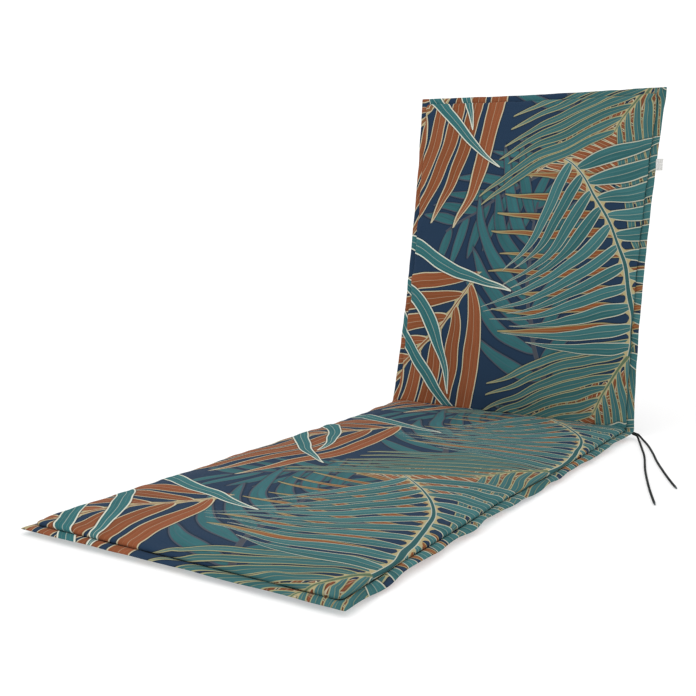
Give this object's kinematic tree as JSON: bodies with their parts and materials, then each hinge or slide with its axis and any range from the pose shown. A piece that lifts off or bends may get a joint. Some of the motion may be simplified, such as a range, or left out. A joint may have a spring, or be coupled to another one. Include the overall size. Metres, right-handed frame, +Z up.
{
  "type": "sun lounger cushion",
  "caption": "Padded cushion for a sun lounger: a long seat section lying flat and a back section folded up at the hip seam, flat sewn edge all round, tie cords at the fold.",
  "frame": {"origin": "on the floor, midway between the foot end and the top of the back, in the middle plane of the width", "axes": "+X across the cushion, +Y from the foot end towards the head end, +Z up; the back section leans 10.3 degrees towards +Y"},
  "size_m": [0.791, 1.2865, 0.7498],
  "materials": {
    "printed_cover": "matte woven cloth with a palm-frond print",
    "label_tape": "plain woven tape",
    "tie_cord": "dark braided cord"
  },
  "bodies": {
    "root": {"cushion": "printed_cover", "label": "label_tape", "tie_front": "tie_cord", "tie_rear": "tie_cord"}
  },
  "joints": []
}
